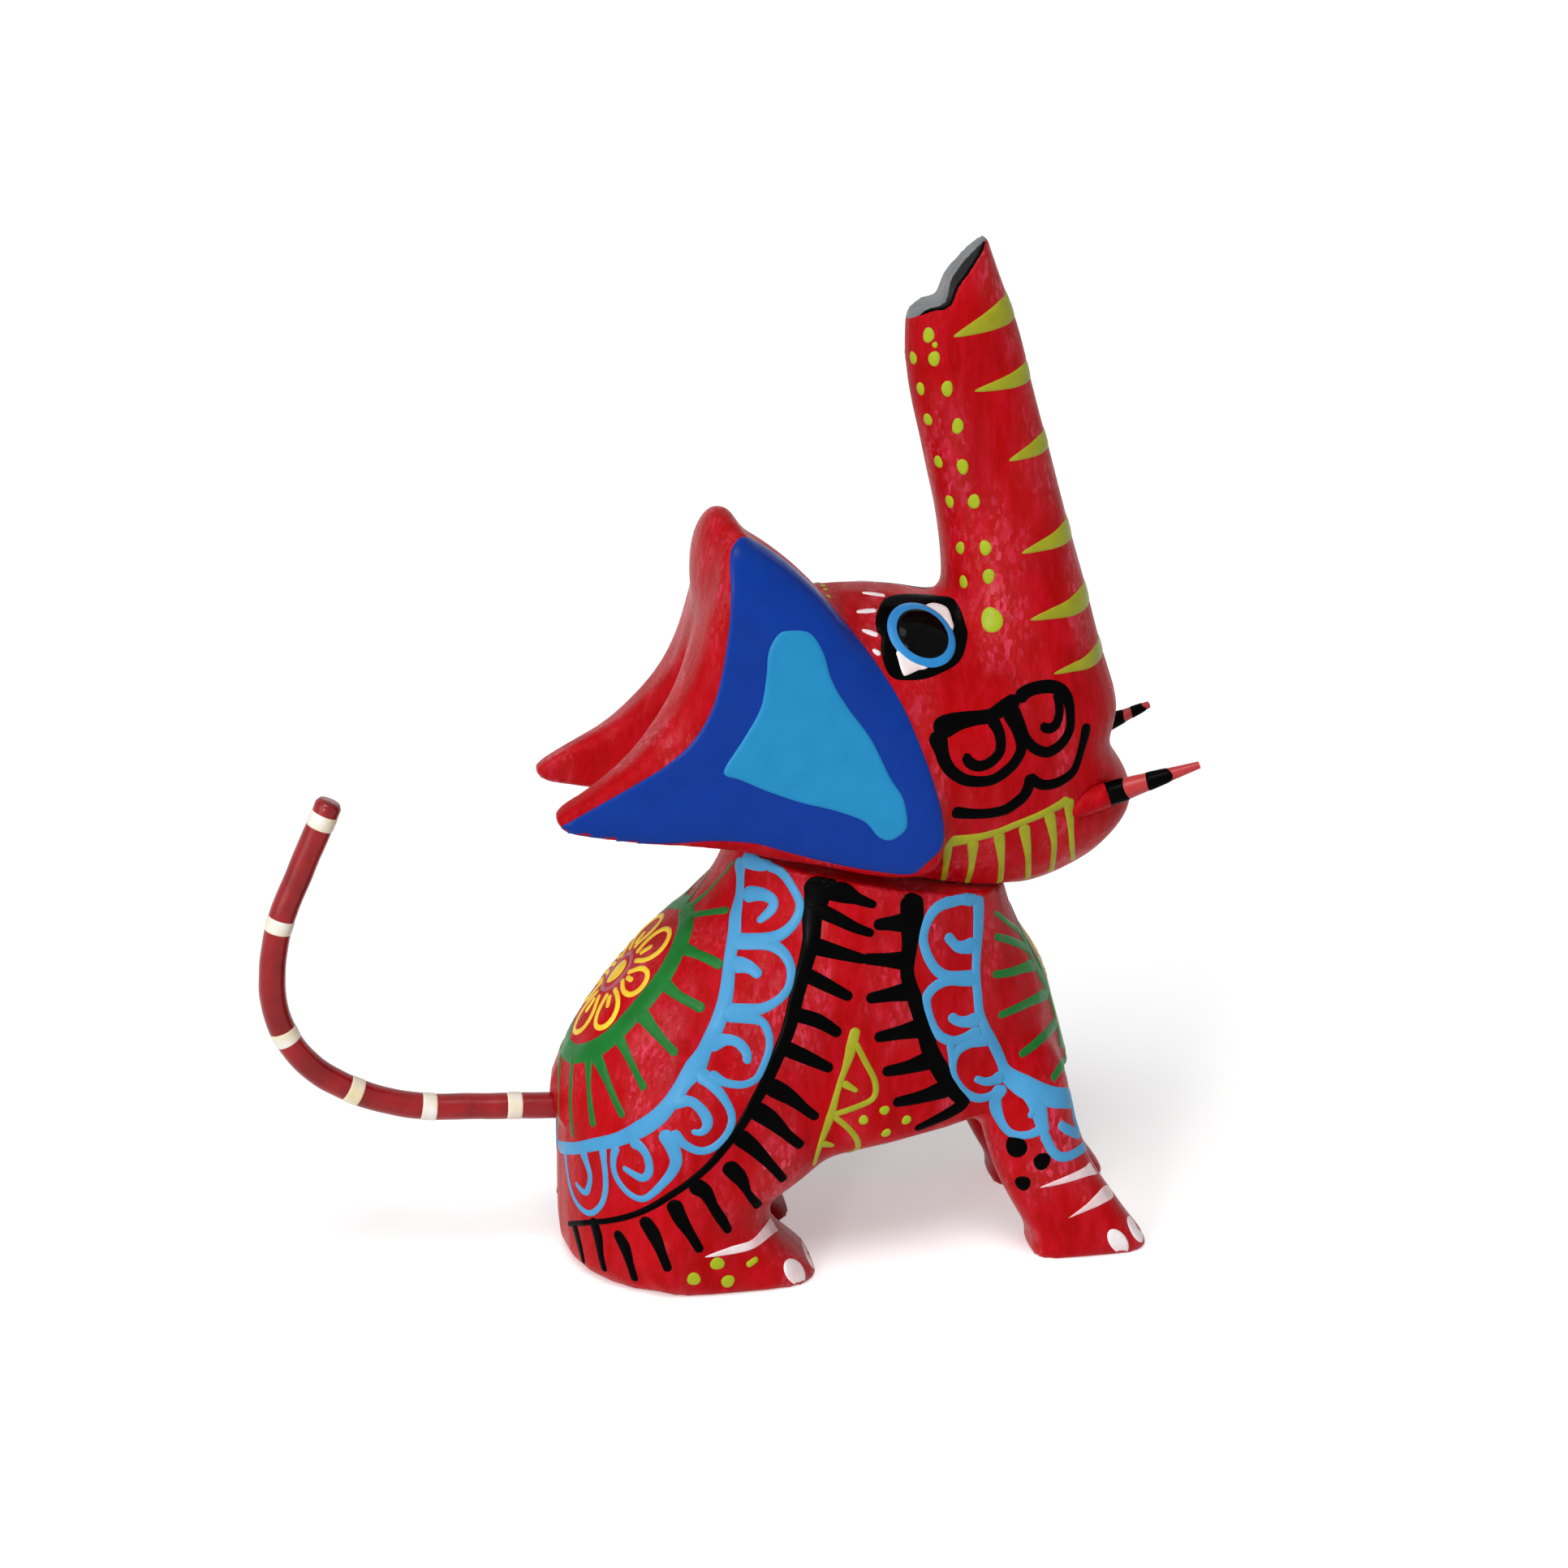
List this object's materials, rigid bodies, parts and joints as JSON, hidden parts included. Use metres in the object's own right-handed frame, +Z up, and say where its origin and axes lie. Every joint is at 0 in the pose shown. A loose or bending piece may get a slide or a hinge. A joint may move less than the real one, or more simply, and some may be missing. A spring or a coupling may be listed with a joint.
{
  "type": "carved elephant figure",
  "caption": "Carved, painted wooden elephant that sits upright with its trunk raised and ears swept back, with peg-mounted turning head, glued tusks and a bent rod tail.",
  "frame": {"origin": "on the ground under the middle of the figure's box", "axes": "+X is the way the elephant faces, +Y is its left, +Z is up"},
  "size_m": [0.0894, 0.0282, 0.0996],
  "materials": {
    "body_paint": "hand-painted, satin",
    "head_paint": "hand-painted, satin",
    "bare_wood": "bare, turned",
    "tusk_paint": "hand-painted bands",
    "tail_paint": "hand-painted bands, gloss"
  },
  "bodies": {
    "torso": {"body": "body_paint", "neck_peg": "bare_wood"},
    "head": {"head": "head_paint", "tusk_right": "tusk_paint", "tusk_left": "tusk_paint"},
    "tail": {"tail": "tail_paint"}
  },
  "joints": [
    {"name": "head_turn", "type": "hinge", "parent": "torso", "child": "head", "pos_m": [0.0141, 0, 0.0395], "axis": [0.2079, 0, 0.9781], "continuous": true},
    {"name": "tail_turn", "type": "hinge", "parent": "torso", "child": "tail", "pos_m": [-0.0164, 0, 0.0154], "axis": [-0.9976, 0, 0.0698], "range_deg": [-90, 90]}
  ]
}
